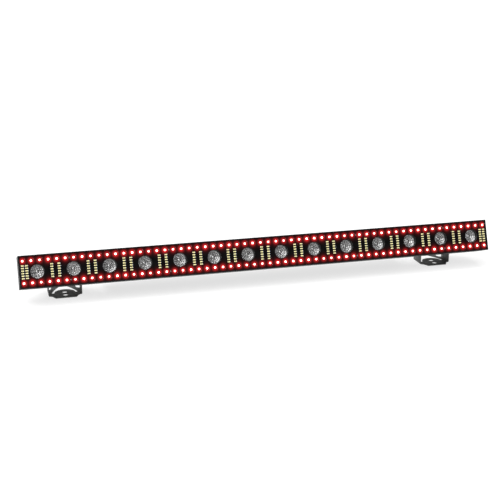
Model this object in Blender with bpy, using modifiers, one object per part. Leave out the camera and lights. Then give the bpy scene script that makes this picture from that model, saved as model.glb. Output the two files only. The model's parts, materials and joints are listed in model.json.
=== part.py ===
"""Led strip batten: a metre-long black bar with two rows of pixel leds, fourteen recessed beam
lenses, columns of strobe leds between them and two tilting floor brackets behind.

The bar is drawn in its own frame: X along its length, Y from its front face to the rear, Z up the
face. An empty tilts that frame back, so that the brackets stand flat on the ground at Z = 0.
The origin is in the middle of the object's footprint. All sizes are in metres."""

import math

import bmesh
import bpy
from mathutils import Matrix, Vector

GAP = 0.0003                # clearance between pieces that touch

# Bar: a U-shaped extrusion, open at the front, closed by a cap at each end
LENGTH = 1.000
HEIGHT = 0.066
DEPTH = 0.060
WALL = 0.0022
CORNER = 0.0015
REAR_WALL = 0.005
FIN_PITCH = 0.006
FIN_GROOVE = 0.003
FINS_PER_HALF = 5
CAP_THICKNESS = 0.003
INNER_HALF = HEIGHT / 2 - WALL
RIB = 0.0016                # thickness of the ribs inside the extrusion
LEDGE_REACH = 0.0033        # how far a ledge stands in from the wall
PORT_REACH = 0.0053         # how far a screw port's ribs stand in from the wall
PORT_WIDTH = 0.0036
PORT_DEPTHS = (0.0118, 0.0474)
SCREW_Z = 0.0282
BODY_END = LENGTH / 2 - CAP_THICKNESS - GAP

# Led layout on the front face
PIXEL_PITCH = LENGTH / 60
PIXEL_ROW = 0.022           # height of each row above and below the middle
PIXEL_SIZE = 0.005
LENS_COUNT = 14
LENS_PITCH = LENGTH / LENS_COUNT
STROBE_WIDTH = 0.0057
STROBE_HEIGHT = 0.003
STROBE_PITCH = 0.005
STROBE_ROWS = 6
STROBE_SPREAD = 0.007       # each column's distance from the middle of a gap between lenses
STROBE_ENDS = (0.4845, 0.4925)

# Depths below the front edge of the extrusion
PIXEL_TOP = 0.0004
STROBE_TOP = 0.0009
BOARD_FRONT = 0.0019
BOARD_BACK = 0.0034
BOARD_HALF = INNER_HALF - 0.0004
LEDGE = BOARD_BACK + GAP
LENS_FRONT = 0.012
LENS_FLANGE = 0.0019
LENS_BACK = 0.0254
LENS_RADIUS = 0.014
WELL_RADIUS = 0.0146
WELL_SIDES = 16
BEAM_LED_TOP = 0.0257
BEAM_BOARD_FRONT = 0.0267
CARRIER_FRONT = 0.0283
CARRIER_THICKNESS = 0.003
DRIVER_FRONT = 0.0440

# Rear cover with the power supply and the controls
COVER_HALF_LENGTH = 0.330
COVER_HALF_HEIGHT = 0.027
COVER_BACK = 0.112
COVER_WALL = 0.0015
POWER_IN_X = -0.300
POWER_OUT_X = -0.262
FUSE_X = -0.230
DATA_IN_X = 0.240
DATA_OUT_X = 0.285
PANEL_X = 0.095
PANEL_HALF = (0.093, 0.022)
PANEL_OPENING = (0.085, 0.017)
PANEL_THICKNESS = 0.002
PANEL_FRONT = COVER_BACK + GAP + PANEL_THICKNESS
DISPLAY_X = PANEL_X - 0.038
DISPLAY_HALF = (0.033, 0.012)
BUTTON_X = PANEL_X + 0.018
BUTTON_PITCH = 0.018
BUTTON_COUNT = 4
SOCKET_RADIUS = 0.011
LATCH_Z = 0.012
LATCH_HALF = (0.0035, 0.0019)

# Brackets and their pivots
TILT = math.radians(20)     # the bar leans back by this much over flat brackets
PIVOT_DEPTH = 0.0836        # pivot axis behind the front edge, at the middle of the bar's height
PIVOT_HEIGHT = 0.047        # pivot axis above the ground
BRACKET_X = 0.4071
BRACKET_HALF = 0.0342
SHEET = 0.0015
EAR_HALF = 0.019
TAB_REACH = 0.034           # front edge of the base in front of the pivot
ARCH_REACH = 0.058          # rear edge of the base behind the pivot
SLOT_START = -0.0045        # flat ends of the crescent slot, from the pivot axis
CLAMP_HOLES = (-0.018, 0.0)
CLAMP_HOLE_RADIUS = 0.00525
BOLT_RADIUS = 0.004
HOLE_RADIUS = BOLT_RADIUS + GAP
WASHER = 0.0015
BLOCK_HALF = BRACKET_HALF - SHEET - WASHER - 2 * GAP
KNOB_START = BRACKET_HALF + GAP
KNOB_END = 0.057
BOLT_END = 0.052

FRONT_REACH = PIVOT_DEPTH * math.cos(TILT) + HEIGHT / 2 * math.sin(TILT)
PIVOT_Y = (FRONT_REACH - ARCH_REACH) / 2

SIDES = (("left", -1), ("right", 1))


# Scene and collections -------------------------------------------------------------------------

for old in list(bpy.data.objects):
    bpy.data.objects.remove(old, do_unlink=True)
parts = bpy.data.collections.new("led_strip_batten")
cutters = bpy.data.collections.new("cutters")
for collection in (parts, cutters):
    bpy.context.scene.collection.children.link(collection)


def material(name, colour, roughness, metallic=0.0):
    look = bpy.data.materials.new(name)
    look.use_nodes = True
    shader = look.node_tree.nodes["Principled BSDF"]
    shader.inputs["Base Color"].default_value = (*colour, 1.0)
    shader.inputs["Roughness"].default_value = roughness
    shader.inputs["Metallic"].default_value = metallic
    look.diffuse_color = (*colour, 1.0)
    return look


BLACK_COAT = material("black_powder_coat", (0.012, 0.012, 0.013), 0.5)
BLACK_BOARD = material("black_solder_mask", (0.015, 0.012, 0.012), 0.35)
GREEN_BOARD = material("green_solder_mask", (0.02, 0.16, 0.06), 0.4)
BLACK_PLASTIC = material("black_plastic", (0.01, 0.01, 0.01), 0.45)
WELL_PLASTIC = material("matt_black_plastic", (0.006, 0.006, 0.006), 0.7)
CLEAR = material("clear_optic", (0.75, 0.78, 0.8), 0.08)
WHITE_BOARD = material("white_solder_mask", (0.75, 0.75, 0.72), 0.4)
ALUMINIUM = material("bare_aluminium", (0.62, 0.63, 0.64), 0.35, 1.0)
ZINC = material("zinc_plated_steel", (0.58, 0.58, 0.56), 0.3, 1.0)
DARK_STEEL = material("black_steel", (0.06, 0.06, 0.06), 0.4, 0.6)
NYLON = material("grey_nylon", (0.3, 0.3, 0.29), 0.6)
SMOKED = material("smoked_window", (0.02, 0.022, 0.025), 0.1)
BLUE_PLASTIC = material("blue_plastic", (0.02, 0.08, 0.45), 0.4)
GREY_PLASTIC = material("grey_plastic", (0.35, 0.36, 0.37), 0.45)
RUBBER = material("button_rubber", (0.09, 0.09, 0.1), 0.7)

bar_frame = bpy.data.objects.new("bar_frame", None)
bar_frame.rotation_euler.x = -TILT
bar_frame.location = Vector((0, PIVOT_Y, PIVOT_HEIGHT)) - (
    Matrix.Rotation(-TILT, 3, "X") @ Vector((0, PIVOT_DEPTH, 0)))
parts.objects.link(bar_frame)


# Shapes ----------------------------------------------------------------------------------------

def baked(obj):
    """The object's shape with its modifiers, as a mesh; the object is removed."""
    bpy.context.view_layer.update()
    graph = bpy.context.evaluated_depsgraph_get()
    mesh = bpy.data.meshes.new_from_object(obj.evaluated_get(graph))
    bpy.data.objects.remove(obj)
    bm = bmesh.new()
    bm.from_mesh(mesh)
    bmesh.ops.remove_doubles(bm, verts=bm.verts, dist=1e-6)
    bmesh.ops.recalc_face_normals(bm, faces=bm.faces)
    bm.to_mesh(mesh)
    bm.free()
    return mesh


def along(mesh, axis, centre):
    """Turn a shape drawn about Z so that its height runs along an axis, at a place on it."""
    if axis == "X":             # drawn x, y become Y, Z
        turn = Matrix(((0, 0, 1, 0), (1, 0, 0, 0), (0, 1, 0, 0), (0, 0, 0, 1)))
    elif axis == "Y":           # drawn x, y become X, Z
        turn = Matrix.Rotation(math.pi / 2, 4, "X")
        centre = -centre
    else:
        turn = Matrix.Identity(4)
    mesh.transform(turn @ Matrix.Translation((0, 0, centre)))
    return mesh


def prism(outlines, low, high, axis):
    """A flat outline, with any holes after it, given straight sides from low to high."""
    curve = bpy.data.curves.new("outline", "CURVE")
    curve.dimensions = "2D"
    curve.fill_mode = "BOTH"
    curve.extrude = (high - low) / 2
    for outline in outlines:
        spline = curve.splines.new("POLY")
        spline.points.add(len(outline) - 1)
        for point, (u, v) in zip(spline.points, outline):
            point.co = (u, v, 0, 1)
        spline.use_cyclic_u = True
    obj = bpy.data.objects.new("outline", curve)
    cutters.objects.link(obj)
    return along(baked(obj), axis, (low + high) / 2)


def turned(profile, segments, axis="Y", at=(0, 0, 0), flip=False):
    """A profile of (radius, height) points turned round an axis. The profile runs from the top of
    the axis down the outer side. Height runs along the axis, and towards -Y on the Y axis."""
    mesh = bpy.data.meshes.new("profile")
    points = [(radius, 0, height) for radius, height in profile]
    mesh.from_pydata(points, [(i, i + 1) for i in range(len(points) - 1)], [])
    obj = bpy.data.objects.new("profile", mesh)
    cutters.objects.link(obj)
    screw = obj.modifiers.new("turn", "SCREW")
    screw.steps = screw.render_steps = segments
    screw.use_merge_vertices = True
    screw.merge_threshold = 1e-6
    result = baked(obj)
    if flip:
        result.transform(Matrix.Rotation(math.pi, 4, "X"))
    along(result, axis, 0)
    result.transform(Matrix.Translation(at))
    result.shade_smooth()
    result.set_sharp_from_angle(angle=math.radians(35))
    return result


def box(low, high):
    bm = bmesh.new()
    bmesh.ops.create_cube(bm, size=1.0)
    low, high = Vector(low), Vector(high)
    bmesh.ops.scale(bm, vec=high - low, verts=bm.verts)
    bmesh.ops.translate(bm, vec=(low + high) / 2, verts=bm.verts)
    mesh = bpy.data.meshes.new("box")
    bm.to_mesh(mesh)
    bm.free()
    return mesh


def rod(centre, axis, low, high, radius, segments=20, end_radius=None):
    """A cylinder or cone from low to high along an axis; centre gives its other two places."""
    bm = bmesh.new()
    bmesh.ops.create_cone(bm, cap_ends=True, segments=segments, radius1=radius,
                          radius2=radius if end_radius is None else end_radius, depth=high - low)
    mesh = bpy.data.meshes.new("rod")
    bm.to_mesh(mesh)
    bm.free()
    if axis == "X":
        mesh.transform(Matrix.Rotation(math.pi / 2, 4, "Y"))
        mesh.transform(Matrix.Translation(((low + high) / 2, centre[0], centre[1])))
    elif axis == "Y":
        mesh.transform(Matrix.Rotation(-math.pi / 2, 4, "X"))
        mesh.transform(Matrix.Translation((centre[0], (low + high) / 2, centre[1])))
    else:
        mesh.transform(Matrix.Translation((centre[0], centre[1], (low + high) / 2)))
    return mesh


def circle(u, v, radius, segments=20):
    turn = 2 * math.pi / segments
    return [(u + radius * math.cos(i * turn), v + radius * math.sin(i * turn))
            for i in range(segments)]


def arc(u, v, radius, start, end, steps):
    """Points on an arc, with its angles in degrees."""
    angles = [math.radians(start + (end - start) * i / steps) for i in range(steps + 1)]
    return [(u + radius * math.cos(angle), v + radius * math.sin(angle)) for angle in angles]


def rounded(half_u, half_v, radius, centre=(0, 0), steps=3):
    """The outline of a rectangle with round corners."""
    corners = ((1, 1, 0), (-1, 1, 90), (-1, -1, 180), (1, -1, 270))
    points = []
    for side_u, side_v, start in corners:
        points += arc(centre[0] + side_u * (half_u - radius), centre[1] + side_v * (half_v - radius),
                      radius, start, start + 90, steps)
    return points


def together(meshes):
    """Several shapes that don't touch each other, in one mesh."""
    bm = bmesh.new()
    for mesh in meshes:
        bm.from_mesh(mesh)
    result = bpy.data.meshes.new("shapes")
    bm.to_mesh(result)
    bm.free()
    return result


def sub_part(name, mesh, look, parent=bar_frame, location=(0, 0, 0)):
    mesh.materials.clear()
    mesh.materials.append(look)
    obj = bpy.data.objects.new(name, mesh)
    obj.parent = parent
    obj.location = location
    parts.objects.link(obj)
    return obj


def combine(obj, operation, meshes):
    """Join shapes to an object or cut them from it. They are drawn about its own origin."""
    tool = bpy.data.objects.new(obj.name + "_" + operation.lower(), together(meshes))
    tool.parent = obj.parent
    tool.location = obj.location
    tool.hide_render = True
    tool.display_type = "WIRE"
    cutters.objects.link(tool)
    modifier = obj.modifiers.new(operation.lower(), "BOOLEAN")
    modifier.operation = operation
    modifier.solver = "EXACT"
    modifier.object = tool


def ease_edges(obj, width):
    bevel = obj.modifiers.new("eased_edges", "BEVEL")
    bevel.width = width
    bevel.segments = 1
    bevel.limit_method = "ANGLE"
    bevel.angle_limit = math.radians(50)


# Bar -------------------------------------------------------------------------------------------

def bar_section():
    """The extrusion's section (depth, height): fins behind, ledges and screw ports inside."""
    outside = []
    for fin in range(FINS_PER_HALF):
        groove = FIN_GROOVE / 2 + fin * FIN_PITCH
        outside += [(DEPTH, groove), (DEPTH - FIN_GROOVE, groove),
                    (DEPTH - FIN_GROOVE, groove + FIN_GROOVE), (DEPTH, groove + FIN_GROOVE)]
    outside += arc(DEPTH - CORNER, HEIGHT / 2 - CORNER, CORNER, 0, 90, 3)
    outside += arc(CORNER, HEIGHT / 2 - CORNER, CORNER, 90, 180, 3)
    ribs = [(LEDGE, LEDGE_REACH), (CARRIER_FRONT - GAP - RIB, LEDGE_REACH),
            (CARRIER_FRONT + CARRIER_THICKNESS + GAP, LEDGE_REACH)]
    for depth in PORT_DEPTHS:
        ribs += [(depth - PORT_WIDTH / 2 - RIB, PORT_REACH), (depth + PORT_WIDTH / 2, PORT_REACH)]
    inside = [(0, INNER_HALF)]
    for start, reach in sorted(ribs):
        inside += [(start, INNER_HALF), (start, INNER_HALF - reach),
                   (start + RIB, INNER_HALF - reach), (start + RIB, INNER_HALF)]
    inside.append((DEPTH - REAR_WALL, INNER_HALF))
    half = outside + inside
    return half + [(depth, -height) for depth, height in reversed(half)]


def build_housing():
    housing = sub_part("housing_channel", prism([bar_section()], -BODY_END, BODY_END, "X"), BLACK_COAT)
    wire_ways = [rod((x, 0), "Y", DEPTH - REAR_WALL - 0.002, DEPTH + 0.002, 0.008)
                 for x in (-0.15, 0.05)]
    combine(housing, "DIFFERENCE", wire_ways)


def build_end_caps():
    screw_places = [(depth, side * SCREW_Z) for depth in PORT_DEPTHS for side in (-1, 1)]
    head, shank, sink = 0.003, 0.0015, 0.0015
    for name, side in SIDES:
        inner, outer = sorted((side * LENGTH / 2, side * (LENGTH / 2 - CAP_THICKNESS)))
        outline = rounded(DEPTH / 2, HEIGHT / 2, CORNER, (DEPTH / 2, 0))
        holes = [circle(*place, shank + GAP, 12) for place in screw_places]
        cap = sub_part("end_cap_" + name, prism([outline] + holes, inner, outer, "X"), BLACK_COAT)
        low, high = sorted((side * (LENGTH / 2 - sink - 0.0004), side * LENGTH / 2))
        wide, narrow = head + 2 * GAP, shank - GAP / 3
        ends = (narrow, wide) if side > 0 else (wide, narrow)
        combine(cap, "DIFFERENCE", [rod(place, "X", low, high, ends[0], 12, ends[1])
                                    for place in screw_places])
        for number, place in enumerate(screw_places, 1):
            profile = [(0, -0.0002), (head, -0.0002), (shank, -sink), (shank, -0.012), (0, -0.0125)]
            screw = turned(profile, 10, "X", flip=side < 0)
            sub_part(f"end_cap_screw_{name}_{number}", screw, ZINC,
                     location=(side * LENGTH / 2, *place))


# Front: boards, wells, lenses ------------------------------------------------------------------

LENS_XS = [(i - (LENS_COUNT - 1) / 2) * LENS_PITCH for i in range(LENS_COUNT)]
PIXEL_XS = [(i - 29.5) * PIXEL_PITCH for i in range(60)]
GAP_XS = [(i - (LENS_COUNT - 2) / 2) * LENS_PITCH for i in range(LENS_COUNT - 1)]
STROBE_XS = sorted([x + side * STROBE_SPREAD for x in GAP_XS for side in (-1, 1)]
                   + [side * x for x in STROBE_ENDS for side in (-1, 1)])
STROBE_ZS = [(i - (STROBE_ROWS - 1) / 2) * STROBE_PITCH for i in range(STROBE_ROWS)]


def on_side(places, side):
    return [x for x in places if x * side > 0]


def build_pixel_boards():
    for name, side in SIDES:
        half_length = (BODY_END - GAP) / 2
        outline = rounded(half_length - GAP / 2, BOARD_HALF, 0.001, (side * half_length, 0), 1)
        holes = [circle(x, 0, WELL_RADIUS - GAP, WELL_SIDES) for x in on_side(LENS_XS, side)]
        board = sub_part("pixel_board_" + name, prism([outline] + holes, BOARD_FRONT, BOARD_BACK, "Y"),
                         BLACK_BOARD)
        root = BOARD_FRONT + GAP
        pixels = [box((x - PIXEL_SIZE / 2, PIXEL_TOP, z - PIXEL_SIZE / 2),
                      (x + PIXEL_SIZE / 2, root, z + PIXEL_SIZE / 2))
                  for x in on_side(PIXEL_XS, side) for z in (-PIXEL_ROW, PIXEL_ROW)]
        strobes = [box((x - STROBE_WIDTH / 2, STROBE_TOP, z - STROBE_HEIGHT / 2),
                       (x + STROBE_WIDTH / 2, root, z + STROBE_HEIGHT / 2))
                   for x in on_side(STROBE_XS, side) for z in STROBE_ZS]
        combine(board, "UNION", pixels + strobes)


def build_lens_trays():
    """Matt plastic wells, seven to a tray, that hold the lenses behind the board."""
    wall, waist, foot = 0.0014, 0.0126, 0.0245
    shoulder = LENS_FRONT + LENS_FLANGE + GAP
    for name, side in SIDES:
        xs = on_side(LENS_XS, side)
        half_length = (BODY_END - GAP) / 2 - 0.002
        outline = rounded(half_length, INNER_HALF - LEDGE_REACH - GAP, 0.001, (side * (BODY_END / 2), 0), 1)
        middle = WELL_RADIUS + wall / 2
        plate = prism([outline] + [circle(x, 0, middle, WELL_SIDES) for x in xs], LEDGE, LEDGE + RIB, "Y")
        tray = sub_part("lens_tray_" + name, plate, WELL_PLASTIC)
        profile = [(WELL_RADIUS, -shoulder), (WELL_RADIUS, -LEDGE), (WELL_RADIUS + wall, -LEDGE),
                   (waist + 1.4 * wall, -foot), (waist, -foot), (waist, -shoulder),
                   (WELL_RADIUS, -shoulder)]
        combine(tray, "UNION", [turned(profile, WELL_SIDES, "Y", (x, 0, 0)) for x in xs])


def build_lenses():
    back = LENS_BACK - LENS_FRONT
    profile = [(0, 0), (LENS_RADIUS, 0), (LENS_RADIUS, -LENS_FLANGE), (0.0122, -LENS_FLANGE),
               (0.006, -back), (0.0034, -back), (0, -back + 0.0052)]
    for number, x in enumerate(LENS_XS, 1):
        sub_part(f"beam_lens_{number:02d}", turned(profile, 16), CLEAR, location=(x, LENS_FRONT, 0))


def build_beam_boards():
    led = 0.002
    for name, side in SIDES:
        start, end = sorted((side * 0.003, side * (BODY_END - 0.003)))
        plate = box((start, BEAM_BOARD_FRONT, -0.026), (end, CARRIER_FRONT - GAP, 0.026))
        board = sub_part("beam_led_board_" + name, plate, WHITE_BOARD)
        combine(board, "UNION", [box((x - led, BEAM_LED_TOP, -led), (x + led, BEAM_BOARD_FRONT + GAP, led))
                                 for x in on_side(LENS_XS, side)])
    slots = [rounded(0.008, 0.004, 0.0039, (x, 0.014), 4) for x in (-0.15, 0.05)]
    carrier = prism([rounded(BODY_END - 0.001, BOARD_HALF, 0.001, (0, 0), 1)] + slots, CARRIER_FRONT,
                    CARRIER_FRONT + CARRIER_THICKNESS, "Y")
    sub_part("led_carrier", carrier, ALUMINIUM)


# Electronics -----------------------------------------------------------------------------------

def build_driver_board():
    back = DRIVER_FRONT + 0.0016
    driver = sub_part("driver_board", box((-0.2, DRIVER_FRONT, -0.0245), (0.2, back, 0.0245)), GREEN_BOARD)
    chips = [box((x - 0.008, 0.036, -0.010), (x + 0.008, DRIVER_FRONT + GAP, 0.010))
             for x in (-0.16, -0.08, 0.0, 0.08, 0.16)]
    spacers = [rod((x, 0), "Y", back - GAP, DEPTH - REAR_WALL - GAP, 0.003, 8)
               for x in (-0.185, -0.06, 0.12, 0.185)]
    combine(driver, "UNION", chips + spacers)


def build_power_supply():
    low, high = (-0.195, 0.078, -0.0235), (-0.020, 0.1085, 0.0235)
    supply = sub_part("power_supply", box(low, high), ALUMINIUM)
    feet = [box((low[0] - 0.010, high[1] - 0.002, -0.012), (low[0] + 0.001, high[1], 0.012)),
            box((high[0] - 0.001, high[1] - 0.002, -0.012), (high[0] + 0.008, high[1], 0.012))]
    terminals = [box((x, low[1] - 0.006, -0.009), (x + 0.007, low[1] + 0.001, 0.009))
                 for x in (-0.185, -0.175, -0.165, -0.050, -0.040, -0.030)]
    combine(supply, "UNION", feet + terminals)


def build_control_board():
    front, back = 0.098, 0.0996
    board = sub_part("control_board", box((PANEL_X - 0.082, front, -0.0155), (PANEL_X + 0.082, back, 0.0155)),
                     GREEN_BOARD)
    module = box((DISPLAY_X - 0.031, back - GAP, -0.011), (DISPLAY_X + 0.031, 0.1097, 0.011))
    switches = [box((x - 0.003, back - GAP, -0.003), (x + 0.003, 0.1061, 0.003)) for x in button_places()]
    chips = [box((x - 0.006, front - 0.0025, -0.006), (x + 0.006, front + GAP, 0.006))
             for x in (PANEL_X - 0.05, PANEL_X, PANEL_X + 0.05)]
    combine(board, "UNION", [module] + switches + chips)


# Rear cover and controls -----------------------------------------------------------------------

def button_places():
    return [BUTTON_X + i * BUTTON_PITCH for i in range(BUTTON_COUNT)]


def build_rear_cover():
    front = DEPTH + GAP
    shell = sub_part("rear_cover", box((-COVER_HALF_LENGTH, front, -COVER_HALF_HEIGHT),
                                       (COVER_HALF_LENGTH, COVER_BACK, COVER_HALF_HEIGHT)), BLACK_COAT)
    ease_edges(shell, 0.0012)
    inner_x, inner_z = COVER_HALF_LENGTH - COVER_WALL, COVER_HALF_HEIGHT - COVER_WALL
    hollow = box((-inner_x, front - 0.002, -inner_z), (inner_x, COVER_BACK - COVER_WALL, inner_z))
    combine(shell, "DIFFERENCE", [hollow])
    low, high = COVER_BACK - COVER_WALL - 0.001, COVER_BACK + 0.001
    holes = [rod((x, 0), "Y", low, high, SOCKET_RADIUS + GAP)
             for x in (POWER_IN_X, POWER_OUT_X, DATA_IN_X, DATA_OUT_X)]
    holes.append(rod((FUSE_X, 0), "Y", low, high, 0.0063))
    holes.append(box((PANEL_X - PANEL_OPENING[0], low, -PANEL_OPENING[1]),
                     (PANEL_X + PANEL_OPENING[0], high, PANEL_OPENING[1])))
    combine(shell, "DIFFERENCE", holes)
    half_x, half_z = LATCH_HALF[0] + 2 * GAP, LATCH_HALF[1] + 2 * GAP
    vents = [box((x, 0.076, side * COVER_HALF_HEIGHT - 0.003),
                 (x + 0.003, 0.102, side * COVER_HALF_HEIGHT + 0.003))
             for x in [-0.18 + 0.02 * i for i in range(8)] for side in (-1, 1)]
    combine(shell, "DIFFERENCE", vents + [box((DATA_OUT_X - half_x, low, LATCH_Z - half_z - 0.002),
                                              (DATA_OUT_X + half_x, high, LATCH_Z + half_z))])


def build_control_panel():
    outline = rounded(*PANEL_HALF, 0.004, (PANEL_X, 0))
    window = [(DISPLAY_X + side_x * DISPLAY_HALF[0], side_z * DISPLAY_HALF[1])
              for side_x, side_z in ((1, 1), (-1, 1), (-1, -1), (1, -1))]
    holes = [circle(x, 0, 0.0053, 16) for x in button_places()]
    panel = prism([outline, window] + holes, COVER_BACK + GAP, PANEL_FRONT, "Y")
    sub_part("control_panel", panel, BLACK_PLASTIC)
    half_x, half_z = DISPLAY_HALF[0] - GAP, DISPLAY_HALF[1] - GAP
    glass = sub_part("display_window", box((DISPLAY_X - half_x, COVER_BACK - GAP, -half_z),
                                           (DISPLAY_X + half_x, PANEL_FRONT - 0.0004, half_z)), SMOKED)
    combine(glass, "UNION", [box((DISPLAY_X - half_x - 0.002, 0.1103, -half_z - 0.002),
                                 (DISPLAY_X + half_x + 0.002, COVER_BACK, half_z + 0.002))])
    key = [(0, 0.0022), (0.0042, 0.0022), (0.005, 0.0014), (0.005, -0.0027), (0.0062, -0.0027),
           (0.0062, -0.0041), (0.002, -0.0041), (0.002, -0.0071), (0, -0.0071)]
    for number, x in enumerate(button_places(), 1):
        sub_part(f"menu_button_{number}", turned(key, 12, flip=True), RUBBER, location=(x, PANEL_FRONT, 0))


def panel_socket(name, x, look, recess, depth, core_radius, core_depth):
    """A panel socket: a rectangular flange, a round body through the cover and a round recess."""
    face, back = 0.0023, -0.019
    profile = [(0, face - core_depth), (core_radius, face - core_depth), (core_radius, face - depth),
               (recess, face - depth), (recess, face), (SOCKET_RADIUS, face), (SOCKET_RADIUS, back),
               (0, back)]
    body = sub_part(name, turned(profile, 18, flip=True), look, location=(x, COVER_BACK, 0))
    ring = circle(0, 0, (recess + SOCKET_RADIUS) / 2, 18)
    combine(body, "UNION", [prism([rounded(0.013, 0.0155, 0.003), ring], GAP, face, "Y")])
    return body


def build_sockets():
    panel_socket("power_in_socket", POWER_IN_X, BLUE_PLASTIC, 0.0092, 0.014, 0.0045, 0.005)
    panel_socket("power_out_socket", POWER_OUT_X, GREY_PLASTIC, 0.0092, 0.014, 0.0045, 0.005)
    data_in = panel_socket("data_in_socket", DATA_IN_X, BLACK_PLASTIC, 0.0094, 0.0155, 0.002, 0.015)
    pins = [(0.0042 * math.cos(math.radians(turn)), 0.0042 * math.sin(math.radians(turn)))
            for turn in (30, 150, 270)]
    combine(data_in, "UNION", [rod(pin, "Y", -0.0142, -0.003, 0.0012, 8) for pin in pins])
    data_out = panel_socket("data_out_socket", DATA_OUT_X, BLACK_PLASTIC, 0.0086, 0.0065, 0.0078, 0.0055)
    half_x, half_z = LATCH_HALF[0] + GAP, LATCH_HALF[1] + GAP
    notch = box((-half_x, -0.0055, LATCH_Z - half_z), (half_x, 0.003, LATCH_Z + half_z))
    combine(data_out, "DIFFERENCE", [rod(pin, "Y", -0.012, -0.001, 0.0013, 8) for pin in pins] + [notch])
    half_x, half_z = LATCH_HALF
    latch = sub_part("data_out_latch", box((-half_x, -0.0035, -half_z), (half_x, 0.0042, half_z)),
                     GREY_PLASTIC, location=(DATA_OUT_X, COVER_BACK, LATCH_Z))
    ease_edges(latch, 0.0005)


def build_fuse_cap():
    profile = [(0, 0.008), (0.0062, 0.008), (0.007, 0.0072), (0.007, GAP), (0.006, GAP), (0.006, -0.012),
               (0, -0.012)]
    place = (FUSE_X, COVER_BACK, 0)
    cap = sub_part("fuse_cap", turned(profile, 20, flip=True), BLACK_PLASTIC, location=place)
    combine(cap, "DIFFERENCE", [box((-0.0008, 0.0065, -0.0055), (0.0008, 0.009, 0.0055))])


# Brackets and pivots ---------------------------------------------------------------------------

def slot_outline():
    """The crescent slot: a half circle in front, a taller pointed arch behind, flat ends."""
    inner = arc(0, SLOT_START, 0.0215, 180, 0, 10)
    half_width, rise, power, steps = 0.027, 0.052, 1.3, 12
    outer = []
    for step in range(steps + 1):
        across = math.cos(math.pi * step / steps)
        reach = (1 - abs(across) ** power) ** (1 / power)
        outer.append((half_width * across, SLOT_START + rise * reach))
    return inner + outer


def base_outline():
    """The base from above: a front tab with sloping sides and an arched band behind."""
    flat = BRACKET_HALF - SHEET - 0.0005
    right = [(0.0205, -TAB_REACH), (0.0220, -TAB_REACH + 0.002), (0.0265, -EAR_HALF - 0.003),
             (flat, -EAR_HALF + 0.001), (flat, EAR_HALF - 0.0005)]
    right += arc(flat, 0.0265, 0.006, 270, 180, 4)
    right += [(0.0250, 0.0330)]
    band = arc(0, 0, 1, 0, 90, 6)[:-1]
    right += [(0.0245 * across, 0.038 + (ARCH_REACH - 0.038) * rise) for across, rise in band]
    return right + [(0, ARCH_REACH)] + [(-x, y) for x, y in reversed(right)]


def folded_section():
    """The folded sheet from the front: a floor and two upright ears."""
    bend, top, foot = 0.0025, EAR_HALF + 0.002, -PIVOT_HEIGHT
    outer = [(BRACKET_HALF, top)] + arc(BRACKET_HALF - bend, foot + bend, bend, 0, -90, 3)
    inner = arc(BRACKET_HALF - bend, foot + bend, bend - SHEET, -90, 0, 2) + [(BRACKET_HALF - SHEET, top)]
    right = inner + outer
    return right + [(-x, z) for x, z in reversed(right)]


def ear_outline():
    return [(-EAR_HALF, -PIVOT_HEIGHT - 0.001), (EAR_HALF, -PIVOT_HEIGHT - 0.001)] + arc(
        0, 0, EAR_HALF, 0, 180, 12)


def build_brackets():
    foot = -PIVOT_HEIGHT
    for name, side in SIDES:
        sheet = prism([folded_section()], -EAR_HALF, EAR_HALF, "Y")
        bracket = sub_part("bracket_" + name, sheet, DARK_STEEL, None,
                           (side * BRACKET_X, PIVOT_Y, PIVOT_HEIGHT))
        reach = BRACKET_HALF + 0.001
        combine(bracket, "INTERSECT", [prism([ear_outline()], -reach, reach, "X")])
        combine(bracket, "UNION", [prism([base_outline()], foot, foot + SHEET, "Z")])
        low, high = foot - 0.001, foot + SHEET + 0.001
        holes = [rod((0, y), "Z", low, high, CLAMP_HOLE_RADIUS, 14) for y in CLAMP_HOLES]
        pivot_hole = rod((0, 0), "X", -reach, reach, HOLE_RADIUS, 12)
        combine(bracket, "DIFFERENCE", holes + [prism([slot_outline()], low, high, "Z"), pivot_hole])


def build_pivots():
    for name, side in SIDES:
        place = (side * BRACKET_X, PIVOT_DEPTH, 0)
        start = DEPTH + GAP - PIVOT_DEPTH
        outline = [(start, -0.024), (start + 0.0045, -0.024)] + arc(0, 0, 0.0125, -110, 110, 12) + [
            (start + 0.0045, 0.024), (start, 0.024)]
        block = prism([outline, circle(0, 0, HOLE_RADIUS, 12)], -BLOCK_HALF, BLOCK_HALF, "X")
        sub_part("pivot_block_" + name, block, ALUMINIUM, location=place)
        washer = [circle(0, 0, 0.011, 16), circle(0, 0, HOLE_RADIUS, 12)]
        for position, facing in (("inner", -side), ("outer", side)):
            ends = sorted((facing * (BLOCK_HALF + GAP), facing * (BLOCK_HALF + GAP + WASHER)))
            sub_part(f"friction_washer_{name}_{position}", prism(washer, *ends, "X"), NYLON, location=place)
        build_bolt(name, side, place)
        build_knob(name, side, place)


def build_bolt(name, side, place):
    head = sorted((-side * (KNOB_START + 0.0053), -side * KNOB_START))
    bolt = sub_part("pivot_bolt_" + name, prism([circle(0, 0, 0.0075, 6)], *head, "X"), ZINC, location=place)
    shank = sorted((-side * (KNOB_START + 0.001), side * BOLT_END))
    combine(bolt, "UNION", [rod((0, 0), "X", *shank, BOLT_RADIUS, 12)])


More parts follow.
